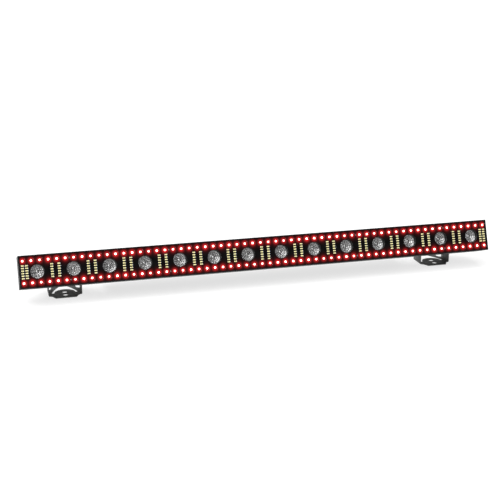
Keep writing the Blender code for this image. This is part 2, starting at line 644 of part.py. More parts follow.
def build_knob(name, side, place):
    """A six-lobed hand knob with a hub, on the outer end of the bolt."""
    hub_end = 0.0405
    steps = 36
    lobes = []
    for step in range(steps):
        turn = 2 * math.pi * step / steps
        radius = 0.0185 + 0.0018 * math.cos(6 * turn)
        lobes.append((radius * math.cos(turn), radius * math.sin(turn)))
    ends = sorted((side * hub_end, side * KNOB_END))
    knob = sub_part("tilt_knob_" + name, prism([lobes], *ends, "X"), BLACK_PLASTIC, location=place)
    ease_edges(knob, 0.0012)
    hub = sorted((side * KNOB_START, side * (hub_end + 0.002)))
    combine(knob, "UNION", [rod((0, 0), "X", *hub, 0.0095, 16)])
    hole = sorted((side * (KNOB_START - 0.001), side * (BOLT_END + GAP)))
    combine(knob, "DIFFERENCE", [rod((0, 0), "X", *hole, HOLE_RADIUS, 12)])


build_housing()
build_end_caps()
build_pixel_boards()
build_lens_trays()
build_lenses()
build_beam_boards()
build_driver_board()
build_power_supply()
build_control_board()
build_rear_cover()
build_control_panel()
build_sockets()
build_fuse_cap()
build_brackets()
build_pivots()
bpy.context.view_layer.update()
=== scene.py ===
"""Looks of the led strip batten: lit pixel leds, beam lenses in dark wells, strobe leds, coated
metal, sockets, controls and brackets, on a plain pale floor.

Lengths are in metres. Most pieces are drawn in the bar's own frame: X along the bar, Y from the
front face to the rear, Z up the face. BAR places that frame, which leans back, in the scene."""

import json
import math
import random

import bmesh
import bpy
from mathutils import Matrix, Vector

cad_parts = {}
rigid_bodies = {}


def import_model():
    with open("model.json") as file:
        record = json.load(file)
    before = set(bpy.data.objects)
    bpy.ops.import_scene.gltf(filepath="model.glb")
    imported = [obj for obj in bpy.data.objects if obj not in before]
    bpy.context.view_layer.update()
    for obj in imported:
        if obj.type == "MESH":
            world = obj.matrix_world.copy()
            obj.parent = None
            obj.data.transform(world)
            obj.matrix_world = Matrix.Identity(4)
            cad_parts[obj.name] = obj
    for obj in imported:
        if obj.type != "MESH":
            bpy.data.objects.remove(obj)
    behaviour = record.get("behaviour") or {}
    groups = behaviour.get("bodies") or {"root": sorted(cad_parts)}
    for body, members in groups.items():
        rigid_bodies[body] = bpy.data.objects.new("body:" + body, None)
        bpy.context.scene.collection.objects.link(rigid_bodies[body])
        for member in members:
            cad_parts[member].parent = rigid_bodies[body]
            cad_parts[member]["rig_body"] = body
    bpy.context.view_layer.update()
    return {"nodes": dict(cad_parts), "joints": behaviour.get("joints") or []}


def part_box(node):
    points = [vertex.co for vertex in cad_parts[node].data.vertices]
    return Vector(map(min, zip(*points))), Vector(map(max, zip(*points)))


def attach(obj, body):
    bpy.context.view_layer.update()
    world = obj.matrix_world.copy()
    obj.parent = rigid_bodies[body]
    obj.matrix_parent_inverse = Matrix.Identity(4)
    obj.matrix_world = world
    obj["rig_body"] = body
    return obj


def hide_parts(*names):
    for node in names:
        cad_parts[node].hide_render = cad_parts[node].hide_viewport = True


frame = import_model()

SCENE = bpy.context.scene


# Camera, floor and light -----------------------------------------------------------------------

CAMERA_TURN = math.radians(14.78)       # the view leans this far to the bar's right
CAMERA_DROP = math.radians(16.9)        # and looks down by this much
CAMERA_ROLL = math.radians(0.22)
CAMERA_DISTANCE = 2.332
CAMERA_AIM = Vector((-0.0166, -0.0012, 0.0647))
CAMERA_LENS = 79.4                     # mm, on the usual 36 mm sensor

SUNS = (("overhead", 4.0, 70, (20, -24, 0)),     # name, strength, angular size and lean in degrees
        ("side", 0.8, 45, (56, 0, -62)))
FLOOR_SIZE = 120
FLOOR_SHADE = 0.35
FLOOR_GLOW = 0.72                       # a light table's own light, which burns it out to white
ROOM_LIGHT = 0.3


def make_camera():
    data = bpy.data.cameras.new("camera")
    data.lens = CAMERA_LENS
    camera = bpy.data.objects.new("camera", data)
    SCENE.collection.objects.link(camera)
    ahead = Vector((math.sin(CAMERA_TURN) * math.cos(CAMERA_DROP),
                    math.cos(CAMERA_TURN) * math.cos(CAMERA_DROP), -math.sin(CAMERA_DROP)))
    aim = ahead.to_track_quat("-Z", "Y").to_matrix() @ Matrix.Rotation(-CAMERA_ROLL, 3, "Z")
    camera.rotation_euler = aim.to_euler()
    camera.location = CAMERA_AIM - ahead * CAMERA_DISTANCE
    SCENE.camera = camera


def make_stage():
    """A wide light table as the floor, broad soft light, and a dim room that keeps the blacks deep."""
    bpy.ops.mesh.primitive_plane_add(size=FLOOR_SIZE, location=(0, 0, -0.0002))
    floor = bpy.context.object
    floor.name = "floor"
    paper = bpy.data.materials.new("floor_paper")
    paper.use_nodes = True
    shader = paper.node_tree.nodes["Principled BSDF"]
    shader.inputs["Base Color"].default_value = (FLOOR_SHADE, FLOOR_SHADE, FLOOR_SHADE, 1)
    shader.inputs["Emission Color"].default_value = (1, 1, 1, 1)
    shader.inputs["Emission Strength"].default_value = FLOOR_GLOW
    shader.inputs["Roughness"].default_value = 0.9
    shader.inputs["Specular IOR Level"].default_value = 0.1
    floor.data.materials.append(paper)

    world = bpy.data.worlds.new("studio")
    world.use_nodes = True
    sky = world.node_tree.nodes["Background"]
    sky.inputs["Color"].default_value = (1.0, 0.995, 0.985, 1)
    sky.inputs["Strength"].default_value = ROOM_LIGHT
    SCENE.world = world

    for name, energy, size, lean in SUNS:
        data = bpy.data.lights.new(name, "SUN")
        data.energy = energy
        data.angle = math.radians(size)
        lamp = bpy.data.objects.new(name, data)
        lamp.rotation_euler = [math.radians(angle) for angle in lean]
        SCENE.collection.objects.link(lamp)
    SCENE.view_settings.view_transform = "Standard"


# The bar's frame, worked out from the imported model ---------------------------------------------

def joint(name):
    return next(entry for entry in frame["joints"] if entry["name"] == name)


def bar_matrix():
    """Rearward is the fuse cap's axis; the front face's middle comes from the housing."""
    rearward = Vector(joint("fuse_cap_turn")["axis"]).normalized()
    along = Vector((1, 0, 0))
    upward = along.cross(rearward)
    points = [vertex.co for vertex in frame["nodes"]["housing_channel"].data.vertices]
    depths = [point.dot(rearward) for point in points]
    heights = [point.dot(upward) for point in points]
    origin = rearward * min(depths) + upward * (min(heights) + max(heights)) / 2
    return Matrix.Translation(origin) @ Matrix((along, rearward, upward)).transposed().to_4x4()


BAR = bar_matrix()


def bar_box(node):
    """A CAD node's lowest and highest corners in the bar's frame."""
    back = BAR.inverted()
    points = [back @ vertex.co for vertex in frame["nodes"][node].data.vertices]
    return Vector([min(axis) for axis in zip(*points)]), Vector([max(axis) for axis in zip(*points)])


def middle(node):
    low, high = bar_box(node)
    return (low + high) / 2


GAP = 0.0003                            # clearance between pieces that touch
SIDES = (("left", -1), ("right", 1))
HALF_LENGTH = bar_box("end_cap_right")[1].x
PIXEL_COUNT = 60
PIXEL_PITCH = 2 * HALF_LENGTH / PIXEL_COUNT
PIXEL_ROW = 0.022
PIXEL_SIZE = 0.005
LENS_NODES = [f"beam_lens_{number:02d}" for number in range(1, 15)]
LENS_XS = [middle(node).x for node in LENS_NODES]
LENS_FRONT = bar_box(LENS_NODES[0])[0].y
LENS_BACK = bar_box(LENS_NODES[0])[1].y
LENS_RADIUS = 0.014
WELL_RADIUS = 0.0144
BOARD_BACK = bar_box("pixel_board_left")[1].y
BOARD_FRONT = BOARD_BACK - 0.0015
PIXEL_TOP = bar_box("pixel_board_left")[0].y
STROBE_TOP = 0.0009
STROBE_SIZE = (0.0057, 0.003)
STROBE_PITCH = 0.005
STROBE_SPREAD = 0.007
STROBE_ENDS = (0.4845, 0.4925)
STROBE_ROWS = 6
CHIP_ASIDE = 0.0046                     # a chip capacitor's place beside its pixel led
CHIP_OUT = 1.14                         # and outward, as a share of the row's height


# Shapes ----------------------------------------------------------------------------------------
# Each returns a mesh. Heights of shapes turned about Y run towards -Y, out of the bar's front.

def object_for(mesh):
    obj = bpy.data.objects.new("shape", mesh)
    SCENE.collection.objects.link(obj)
    return obj


def baked(obj):
    """The object's shape with its modifiers, as a mesh; the object is removed."""
    bpy.context.view_layer.update()
    mesh = bpy.data.meshes.new_from_object(obj.evaluated_get(bpy.context.evaluated_depsgraph_get()))
    bpy.data.objects.remove(obj)
    bm = bmesh.new()
    bm.from_mesh(mesh)
    bmesh.ops.remove_doubles(bm, verts=bm.verts, dist=1e-6)
    bmesh.ops.recalc_face_normals(bm, faces=bm.faces)
    bm.to_mesh(mesh)
    bm.free()
    return mesh


def along(mesh, axis, centre=0):
    """Turn a shape drawn about Z so that its height runs along an axis, at a place on it."""
    if axis == "X":
        turn = Matrix(((0, 0, 1, 0), (1, 0, 0, 0), (0, 1, 0, 0), (0, 0, 0, 1)))
    elif axis == "Y":
        turn = Matrix.Rotation(math.pi / 2, 4, "X")
        centre = -centre
    else:
        turn = Matrix.Identity(4)
    mesh.transform(turn @ Matrix.Translation((0, 0, centre)))
    return mesh


def prism(outlines, low, high, axis="Y"):
    """A flat outline, with any holes after it, given straight sides from low to high."""
    curve = bpy.data.curves.new("outline", "CURVE")
    curve.dimensions = "2D"
    curve.fill_mode = "BOTH"
    curve.extrude = (high - low) / 2
    for outline in outlines:
        spline = curve.splines.new("POLY")
        spline.points.add(len(outline) - 1)
        for point, (u, v) in zip(spline.points, outline):
            point.co = (u, v, 0, 1)
        spline.use_cyclic_u = True
    return along(baked(object_for(curve)), axis, (low + high) / 2)


def turned(profile, segments=48, axis="Y", flip=False):
    """A profile of (radius, height) points turned round an axis, or for flip the other way up."""
    mesh = bpy.data.meshes.new("profile")
    points = [(radius, 0, height) for radius, height in profile]
    mesh.from_pydata(points, [(i, i + 1) for i in range(len(points) - 1)], [])
    obj = object_for(mesh)
    screw = obj.modifiers.new("turn", "SCREW")
    screw.steps = screw.render_steps = segments
    screw.use_merge_vertices = True
    screw.merge_threshold = 1e-6
    result = baked(obj)
    if flip:
        result.transform(Matrix.Rotation(math.pi, 4, "X"))
    return along(result, axis)


def box(low, high):
    bm = bmesh.new()
    bmesh.ops.create_cube(bm, size=1.0)
    low, high = Vector(low), Vector(high)
    bmesh.ops.scale(bm, vec=high - low, verts=bm.verts)
    bmesh.ops.translate(bm, vec=(low + high) / 2, verts=bm.verts)
    mesh = bpy.data.meshes.new("box")
    bm.to_mesh(mesh)
    bm.free()
    return mesh


def circle(u, v, radius, segments=48):
    turn = 2 * math.pi / segments
    return [(u + radius * math.cos(i * turn), v + radius * math.sin(i * turn)) for i in range(segments)]


def arc(u, v, radius, start, end, steps=8):
    """Points on an arc, with its angles in degrees."""
    angles = [math.radians(start + (end - start) * i / steps) for i in range(steps + 1)]
    return [(u + radius * math.cos(angle), v + radius * math.sin(angle)) for angle in angles]


def rounded(half_u, half_v, radius, centre=(0, 0), steps=5):
    """The outline of a rectangle with round corners."""
    points = []
    for side_u, side_v, start in ((1, 1, 0), (-1, 1, 90), (-1, -1, 180), (1, -1, 270)):
        points += arc(centre[0] + side_u * (half_u - radius), centre[1] + side_v * (half_v - radius),
                      radius, start, start + 90, steps)
    return points


def joined(meshes):
    """Several shapes in one mesh; each face keeps its place in the list of looks."""
    bm = bmesh.new()
    for mesh in meshes:
        bm.from_mesh(mesh)
    result = bpy.data.meshes.new("shapes")
    bm.to_mesh(result)
    bm.free()
    return result


def boolean(mesh, operation, *tools):
    """Join other shapes to a shape (UNION), cut them from it or keep what they share."""
    obj, tool = object_for(mesh), object_for(joined(tools))
    modifier = obj.modifiers.new("join_or_cut", "BOOLEAN")
    modifier.operation = operation
    modifier.solver = "EXACT"
    modifier.object = tool
    result = baked(obj)
    bpy.data.objects.remove(tool)
    return result


def eased(mesh, width, segments=2, angle=35):
    """The shape with its edges rounded off."""
    obj = object_for(mesh)
    bevel = obj.modifiers.new("ease", "BEVEL")
    bevel.width = width
    bevel.segments = segments
    bevel.limit_method = "ANGLE"
    bevel.angle_limit = math.radians(angle)
    return baked(obj)


def looking(mesh, number):
    """Give the shape the look at this place in the piece's list of looks."""
    for face in mesh.polygons:
        face.material_index = number
    return mesh


def spread(mesh, places):
    """Copies of a shape at each place, in one mesh."""
    copies = []
    for place in places:
        copy = mesh.copy()
        copy.transform(Matrix.Translation(place))
        copies.append(copy)
    return joined(copies)


def smoothed(mesh, angle=30):
    mesh.shade_smooth()
    mesh.set_sharp_from_angle(angle=math.radians(angle))
    return mesh


# Pieces ----------------------------------------------------------------------------------------


def piece(name, mesh, looks, body, place=BAR, smooth=30):
    for look in looks:
        mesh.materials.append(look)
    obj = bpy.data.objects.new(name, smoothed(mesh, smooth))
    SCENE.collection.objects.link(obj)
    obj.matrix_world = place
    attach(obj, body)
    return obj


def stand_in(node, mesh, *looks, place=BAR, smooth=30):
    """A finer piece in place of a CAD node, with its body; the node is hidden."""
    obj = piece(node + "_detailed", mesh, looks, frame["nodes"][node]["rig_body"], place, smooth)
    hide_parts(node)
    return obj


def dress(node, look):
    """A material for a CAD node that stays as it is."""
    for slot in frame["nodes"][node].material_slots:
        slot.material = look


# Materials -------------------------------------------------------------------------------------

WEAR_REACH = 0.0005                     # how far from an edge the paint is rubbed
# red of the glow painted on the board and on the led bodies round each lit pixel led
PAINTED_GLOW_RED = (1.0, 0.03, 0.035, 1)


def add(tree, kind, inputs=None, **settings):
    """A shader node; its inputs are values or other nodes' outputs."""
    made = tree.nodes.new("ShaderNode" + kind)
    for name, value in settings.items():
        setattr(made, name, value)
    for key, value in (inputs or {}).items():
        if isinstance(value, bpy.types.NodeSocket):
            tree.links.new(value, made.inputs[key])
        else:
            made.inputs[key].default_value = value
    return made


def calc(tree, operation, *values):
    return add(tree, "Math", dict(enumerate(values)), operation=operation).outputs[0]


def object_place(tree):
    return add(tree, "TexCoord").outputs["Object"]


def noise(tree, scale, detail=4.0, stretch=(1, 1, 1)):
    place = add(tree, "Mapping", {"Vector": object_place(tree), "Scale": stretch}).outputs[0]
    return add(tree, "TexNoise", {"Vector": place, "Scale": scale, "Detail": detail}).outputs[0]


def ramp(tree, factor, low, high):
    """A colour or grey that runs from low to high as the factor goes from 0.3 to 0.7."""
    made = add(tree, "ValToRGB", {"Fac": factor})
    for stop, place, shade in zip(made.color_ramp.elements, (0.3, 0.7), (low, high)):
        stop.position = place
        stop.color = (*shade, 1) if isinstance(shade, tuple) else (shade, shade, shade, 1)
    return made.outputs["Color"]


def mixed(tree, factor, under, over):
    """One colour over another by a factor."""
    made = add(tree, "Mix", {0: factor, 6: under, 7: over}, data_type="RGBA")
    return made.outputs[2]


def new_look(name, colour, roughness, metallic=0.0, **others):
    """A material whose even values sit on the shader; others are further socket names."""
    look = bpy.data.materials.new(name)
    look.use_nodes = True
    shader = shader_of(look)
    values = {"Base Color": (*colour, 1), "Roughness": roughness, "Metallic": metallic}
    values.update({key.replace("_", " "): value for key, value in others.items()})
    for key, value in values.items():
        shader.inputs[key].default_value = value
    look.diffuse_color = (*colour, 1)
    return look


def shader_of(look):
    return look.node_tree.nodes["Principled BSDF"]


def feed(look, socket, output):
    look.node_tree.links.new(output, shader_of(look).inputs[socket])
    return look


def vary(look, low, high, scale, roughness=None, stretch=(1, 1, 1)):
    """Cloudy variation of colour from low to high, and of roughness between two values."""
    tree = look.node_tree
    feed(look, "Base Color", ramp(tree, noise(tree, scale, 5.0, stretch), low, high))
    if roughness:
        feed(look, "Roughness", ramp(tree, noise(tree, scale * 2.7, 4.0, stretch), *roughness))
    return look


def relief(look, height, depth, strength=0.5):
    """Fine relief from a height factor, at a real depth."""
    tree = look.node_tree
    bump = add(tree, "Bump", {"Height": height, "Strength": strength, "Distance": depth})
    return feed(look, "Normal", bump.outputs[0])


def worn(look, bare, amount):
    """Rubbed paint on edges: where the rounded normal leaves the flat one, broken up by noise."""
    tree = look.node_tree
    soft = add(tree, "Bevel", {"Radius": WEAR_REACH}, samples=4).outputs[0]
    flat = add(tree, "NewGeometry").outputs["Normal"]
    match = add(tree, "VectorMath", {0: soft, 1: flat}, operation="DOT_PRODUCT").outputs["Value"]
    edge = calc(tree, "MULTIPLY", calc(tree, "SUBTRACT", 1.0, match), 5.0)
    broken = calc(tree, "MULTIPLY", edge, calc(tree, "GREATER_THAN", noise(tree, 140.0, 6.0), 0.53))
    factor = add(tree, "Clamp", {"Value": calc(tree, "MULTIPLY", broken, amount)}).outputs[0]
    base = shader_of(look).inputs["Base Color"]
    under = base.links[0].from_socket if base.links else tuple(base.default_value)
    return feed(look, "Base Color", mixed(tree, factor, under, (*bare, 1)))


def powder_coat():
    look = new_look("black_powder_coat", (0.004, 0.004, 0.004), 0.5, Specular_IOR_Level=0.12)
    vary(look, (0.002, 0.002, 0.002), (0.0055, 0.0055, 0.0055), 35.0, (0.36, 0.52))
    relief(look, noise(look.node_tree, 1400.0, 2.0), 0.00006, 0.35)
    return worn(look, (0.06, 0.06, 0.06), 0.25)


def bracket_coat():
    look = new_look("bracket_powder_coat", (0.07, 0.07, 0.069), 0.45, Specular_IOR_Level=0.4)
    vary(look, (0.068, 0.068, 0.067), (0.104, 0.104, 0.102), 60.0, (0.38, 0.55))
    relief(look, noise(look.node_tree, 1600.0, 2.0), 0.00006, 0.35)
    return worn(look, (0.3, 0.3, 0.29), 0.5)


def metal(name, colour, roughness, grain=(1, 1, 1), spread_of_shade=0.12):
    """Bare metal with cloudy tarnish and fine scratches that follow the grain."""
    look = new_look(name, colour, roughness, 1.0)
    low = tuple(c * (1 - spread_of_shade) for c in colour)
    high = tuple(min(1.0, c * (1 + spread_of_shade)) for c in colour)
    vary(look, low, high, 120.0, (roughness * 0.75, roughness * 1.35), grain)
    return relief(look, noise(look.node_tree, 700.0, 3.0, grain), 0.00003, 0.3)


def plastic(name, colour, roughness, grain=1500.0):
    """Moulded plastic with a fine spark-eroded grain."""
    look = new_look(name, colour, roughness)
    vary(look, tuple(c * 0.8 for c in colour), tuple(c * 1.2 for c in colour), 70.0,
         (roughness * 0.85, roughness * 1.15))
    return relief(look, noise(look.node_tree, grain, 2.0), 0.00005, 0.3)


def pixel_distance(tree):
    """Squared distance in the board's plane to the nearest led, and each led's shade by chance."""
    place = add(tree, "SeparateXYZ", {0: object_place(tree)})
    step = calc(tree, "DIVIDE", place.outputs["X"], PIXEL_PITCH)
    off_x = calc(tree, "MULTIPLY", calc(tree, "SUBTRACT", calc(tree, "FRACT", step), 0.5), PIXEL_PITCH)
    off_z = calc(tree, "SUBTRACT", calc(tree, "ABSOLUTE", place.outputs["Z"]), PIXEL_ROW)
    square = calc(tree, "ADD", calc(tree, "MULTIPLY", off_x, off_x),
                  calc(tree, "MULTIPLY", off_z, off_z))
    which = calc(tree, "ADD", calc(tree, "FLOOR", step),
                 calc(tree, "MULTIPLY", calc(tree, "SIGN", place.outputs["Z"]), 400.0))
    chance = add(tree, "TexWhiteNoise", {"W": which}, noise_dimensions="1D").outputs["Value"]
    return square, chance


def fading(tree, square, reach, strength):
    """A soft spot of light: its strength falls off with the squared distance."""
    fall = calc(tree, "EXPONENT", calc(tree, "MULTIPLY", square, -1 / reach ** 2))
    return calc(tree, "MULTIPLY", fall, strength)


def solder_mask():
    """Black solder mask with raised tracks, and a red glow painted round each lit pixel led."""
    look = new_look("black_solder_mask", (0.002, 0.002, 0.002), 0.5, Specular_IOR_Level=0.03,
                    Emission_Color=PAINTED_GLOW_RED)
    tree = look.node_tree
    vary(look, (0.001, 0.001, 0.001), (0.0035, 0.0032, 0.0032), 90.0, (0.45, 0.65))
    cells = add(tree, "TexVoronoi", {"Vector": object_place(tree), "Scale": 420.0}, distance="MANHATTAN")
    relief(look, calc(tree, "GREATER_THAN", cells.outputs["Distance"], 0.4), 0.00004, 0.5)
    square, chance = pixel_distance(tree)
    # painted glow: red light painted on the board, fading out from each lit led
    painted_glow = calc(tree, "ADD", fading(tree, square, 0.0045, 1.05), fading(tree, square, 0.0085, 0.09))
    shade = calc(tree, "ADD", calc(tree, "MULTIPLY", chance, 0.5), 0.7)
    return feed(look, "Emission Strength", calc(tree, "MULTIPLY", painted_glow, shade))


def led_window():
    """The lit resin: white-hot in the middle, redder towards the rim."""
    look = new_look("lit_red_resin", (0.9, 0.6, 0.55), 0.25, Emission_Color=(1.0, 0.2, 0.17, 1))
    tree = look.node_tree
    square, chance = pixel_distance(tree)
    feed(look, "Base Color", ramp(tree, noise(tree, 900.0), (0.9, 0.5, 0.45), (1.0, 0.75, 0.7)))
    glow = calc(tree, "ADD", fading(tree, square, 0.0018, 16.0), 7.0)
    return feed(look, "Emission Strength", calc(tree, "MULTIPLY", glow, calc(tree, "ADD", chance, 0.6)))


def led_body():
    """Black led housing with a red glow painted on it round the lit resin."""
    look = new_look("led_black_plastic", (0.03, 0.02, 0.02), 0.4, Emission_Color=PAINTED_GLOW_RED)
    tree = look.node_tree
    square, _ = pixel_distance(tree)
    feed(look, "Base Color", ramp(tree, noise(tree, 500.0), (0.02, 0.015, 0.015), (0.05, 0.035, 0.035)))
    # painted glow on the dark housing, fading out from each led's middle
    return feed(look, "Emission Strength", fading(tree, square, 0.0034, 1.5))


def phosphor():
    # the unlit strobes' yellow phosphor, with a faint painted glow (emission 0.14)
    look = new_look("yellow_phosphor", (0.85, 0.78, 0.36), 0.45, Coat_Weight=0.3, Coat_Roughness=0.15,
                    Emission_Color=(0.8, 0.72, 0.34, 1), Emission_Strength=0.14)
    vary(look, (0.78, 0.7, 0.3), (0.92, 0.85, 0.42), 400.0, (0.35, 0.6))
    return relief(look, noise(look.node_tree, 2500.0), 0.00004, 0.4)


def lens_optic():
    """Pebbled bright optic: its facets mirror the room, with faint clouding from the moulding."""
    look = new_look("faceted_optic", (0.5, 0.5, 0.5), 0.18, 0.78, Coat_Weight=0.5, Coat_Roughness=0.06)
    vary(look, (0.3, 0.3, 0.3), (0.52, 0.52, 0.52), 160.0, (0.13, 0.22))
    return relief(look, noise(look.node_tree, 200.0), 0.00015, 0.35)


def circuit(name, mask, track):
    """A circuit board: solder mask over tracks and pads laid out on a square grid."""
    look = new_look(name, mask, 0.35)
    tree = look.node_tree
    cells = add(tree, "TexVoronoi", {"Vector": object_place(tree), "Scale": 260.0}, distance="CHEBYCHEV")
    lines = calc(tree, "GREATER_THAN", cells.outputs["Distance"], 0.42)
    pads = calc(tree, "LESS_THAN", cells.outputs["Distance"], 0.07)
    with_tracks = mixed(tree, lines, (*mask, 1), (*track, 1))
    feed(look, "Base Color", mixed(tree, pads, with_tracks, (0.5, 0.48, 0.42, 1)))
    feed(look, "Roughness", ramp(tree, noise(tree, 120.0), 0.28, 0.5))
    return relief(look, lines, 0.00005, 0.5)


def smoked_window():
    look = new_look("smoked_window", (0.012, 0.013, 0.016), 0.08, Coat_Weight=0.5, Coat_Roughness=0.02)
    vary(look, (0.01, 0.011, 0.014), (0.018, 0.02, 0.024), 40.0, (0.05, 0.12))
    return relief(look, noise(look.node_tree, 60.0), 0.00004, 0.1)


def lit_digits():
    look = new_look("lit_digits", (0.5, 0.05, 0.03), 0.4, Emission_Color=(1.0, 0.09, 0.04, 1))
    tree = look.node_tree
    feed(look, "Base Color", ramp(tree, noise(tree, 300.0), (0.4, 0.03, 0.02), (0.6, 0.08, 0.05)))
    return feed(look, "Emission Strength", ramp(tree, noise(tree, 900.0), 2.2, 3.0))


COAT = powder_coat()
BRACKET_COAT = bracket_coat()
ZINC = metal("zinc_plated_steel", (0.55, 0.55, 0.53), 0.3)
DARK_ZINC = metal("dark_zinc_steel", (0.17, 0.13, 0.13), 0.42)
TIN = metal("tinned_pads", (0.5, 0.54, 0.66), 0.35)
ALUMINIUM = metal("bare_aluminium", (0.6, 0.61, 0.62), 0.34, (1, 12, 12))
MASK = solder_mask()
LED_WINDOW = led_window()
LED_BODY = led_body()
PHOSPHOR = phosphor()
STROBE_BODY = plastic("strobe_plastic", (0.12, 0.11, 0.065), 0.5)
CERAMIC = plastic("capacitor_ceramic", (0.14, 0.08, 0.05), 0.45)
WELL_PLASTIC = plastic("matt_black_plastic", (0.008, 0.008, 0.008), 0.6, 900.0)
OPTIC = lens_optic()
WHITE_BOARD = circuit("white_solder_mask", (0.7, 0.7, 0.67), (0.62, 0.62, 0.6))
GREEN_BOARD = circuit("green_solder_mask", (0.015, 0.13, 0.045), (0.02, 0.2, 0.07))
BLACK_PLASTIC = plastic("black_plastic", (0.012, 0.012, 0.012), 0.42)
BLUE_PLASTIC = plastic("blue_plastic", (0.015, 0.06, 0.42), 0.38)
GREY_PLASTIC = plastic("grey_plastic", (0.32, 0.33, 0.34), 0.42)
RUBBER = plastic("button_rubber", (0.07, 0.07, 0.08), 0.7, 800.0)
NYLON = plastic("grey_nylon", (0.28, 0.28, 0.27), 0.55, 700.0)
SMOKED = smoked_window()
DIGITS = lit_digits()
WHITE_PRINT = plastic("white_print", (0.6, 0.6, 0.6), 0.6, 400.0)


# Front: boards, wells and lenses ---------------------------------------------------------------

PIXEL_XS = [(i - (PIXEL_COUNT - 1) / 2) * PIXEL_PITCH for i in range(PIXEL_COUNT)]
GAP_XS = [(left + right) / 2 for left, right in zip(LENS_XS, LENS_XS[1:])]
STROBE_XS = [x + side * STROBE_SPREAD for x in GAP_XS for side in (-1, 1)]
STROBE_XS += [side * x for x in STROBE_ENDS for side in (-1, 1)]
STROBE_ZS = [(i - (STROBE_ROWS - 1) / 2) * STROBE_PITCH for i in range(STROBE_ROWS)]
SCREW_XS = [i * 12 * PIXEL_PITCH for i in (-2, -1, 1, 2)]


def on_side(places, side):
    return [x for x in places if x * side > 0]


def pixel_led():
    """A square led: dark body with a round bowl of resin and six soldered feet."""
    half, height = PIXEL_SIZE / 2, BOARD_FRONT - PIXEL_TOP
    bowl = turned([(0, height + 0.0001), (0.0022, height + 0.0001), (0.0018, height - 0.0006),
                   (0, height - 0.0006)], 24)
    body = eased(prism([rounded(half, half, 0.0002, steps=2)], -height, 0), 0.0001, 1)
    body = boolean(body, "DIFFERENCE", bowl)
    resin = turned([(0, height - 0.0001), (0.0012, height - 0.00013), (0.0019, height - 0.00025),
                    (0.0018, height - 0.00055), (0, height - 0.00055)], 24)
    foot = box((-0.00025, -0.0003, -0.00045), (0.00025, 0, 0.00045))
    feet = spread(foot, [(side * half, 0, z) for side in (-1, 1) for z in (-0.0016, 0, 0.0016)])
    return joined([looking(body, 0), looking(resin, 1), looking(feet, 2)])


def strobe_led():
    """An oblong led with two windows of yellow phosphor side by side and a tinned pad at each end."""
    half_x, half_z = STROBE_SIZE[0] / 2 - 0.0003, STROBE_SIZE[1] / 2
    height, window = BOARD_FRONT - STROBE_TOP, (0.001, 0.0011)
    fill = [half - 0.00004 for half in window]
    body = eased(box((-half_x, -height, -half_z), (half_x, 0, half_z)), 0.00012, 1)
    centres = [(side * 0.00132, 0) for side in (-1, 1)]
    pockets = [prism([rounded(*window, 0.0003, centre, 3)], -height - 0.0001, -height + 0.0003)
               for centre in centres]
    body = boolean(body, "DIFFERENCE", *pockets)
    fills = [prism([rounded(*fill, 0.0003, centre, 3)], -height + 0.00004, -height + 0.00028)
             for centre in centres]
    pads = joined([box((-half_x - 0.0003, -0.0006, -0.0011), (-half_x + 0.0002, 0, 0.0011)),
                   box((half_x - 0.0002, -0.0006, -0.0011), (half_x + 0.0009, 0, 0.0011))])
    return joined([looking(body, 0), looking(joined(fills), 1), looking(pads, 2)])


def capacitor():
    """A small chip capacitor: brown body, tinned ends."""
    body = eased(box((-0.0005, -0.0006, -0.0004), (0.0005, 0, 0.0004)), 0.00008, 1)
    end = eased(box((-0.00018, -0.00063, -0.00042), (0.00018, 0, 0.00042)), 0.00008, 1)
    return joined([looking(body, 0), looking(spread(end, [(-0.0006, 0, 0), (0.0006, 0, 0)]), 1)])


def cross_recess(radius, top):
    """The cross that a screwdriver fits, to be cut from a head facing -Y."""
    arm, half = radius * 0.55, radius * 0.13
    level, upright = (arm, half), (half, arm)
    bars = [box((-u, -top - 0.001, -v), (u, -top * 0.35, v)) for u, v in (level, upright)]
    return boolean(bars[0], "UNION", bars[1])


def screw_head(radius, height):
    """A pan-head screw seen from its head, which stands on Y = 0 and faces -Y."""
    dome = [(0, height)] + [(radius * math.sin(t), height * (0.45 + 0.55 * math.cos(t)))
                            for t in (math.radians(20 * i) for i in range(1, 5))] + [(radius, 0), (0, 0)]
    return boolean(turned(dome, 32), "DIFFERENCE", cross_recess(radius, height))


def build_boards():
    """Each half's board, with its pixel and strobe leds, capacitors and screws."""
    led, strobe, chip = pixel_led(), strobe_led(), capacitor()
    screw = screw_head(0.0016, 0.0008)
    for name, side in SIDES:
        node = "pixel_board_" + name
        low, high = bar_box(node)
        outline = rounded((high.x - low.x) / 2, high.z, 0.001, ((low.x + high.x) / 2, 0))
        holes = [circle(x, 0, WELL_RADIUS, 64) for x in on_side(LENS_XS, side)]
        plate = eased(prism([outline] + holes, BOARD_FRONT, BOARD_BACK), 0.00015, 1)
        stand_in(node, plate, MASK)
        rows = [(x, BOARD_FRONT, z) for x in on_side(PIXEL_XS, side) for z in (-PIXEL_ROW, PIXEL_ROW)]
        piece("pixel_leds_" + name, spread(led, rows), (LED_BODY, LED_WINDOW, TIN), "batten")
        columns = [(x, BOARD_FRONT, z) for x in on_side(STROBE_XS, side) for z in STROBE_ZS]
        piece("strobe_leds_" + name, spread(strobe, columns), (STROBE_BODY, PHOSPHOR, TIN),
              "batten")
        chips = [(x + CHIP_ASIDE, BOARD_FRONT, z * CHIP_OUT) for x, _, z in rows]
        piece("capacitors_" + name, spread(chip, chips), (CERAMIC, TIN), "batten")
        heads = [(x, BOARD_FRONT, z) for x in on_side(SCREW_XS, side) for z in (-PIXEL_ROW, PIXEL_ROW)]
        piece("board_screws_" + name, spread(screw, heads), (DARK_ZINC,), "batten")


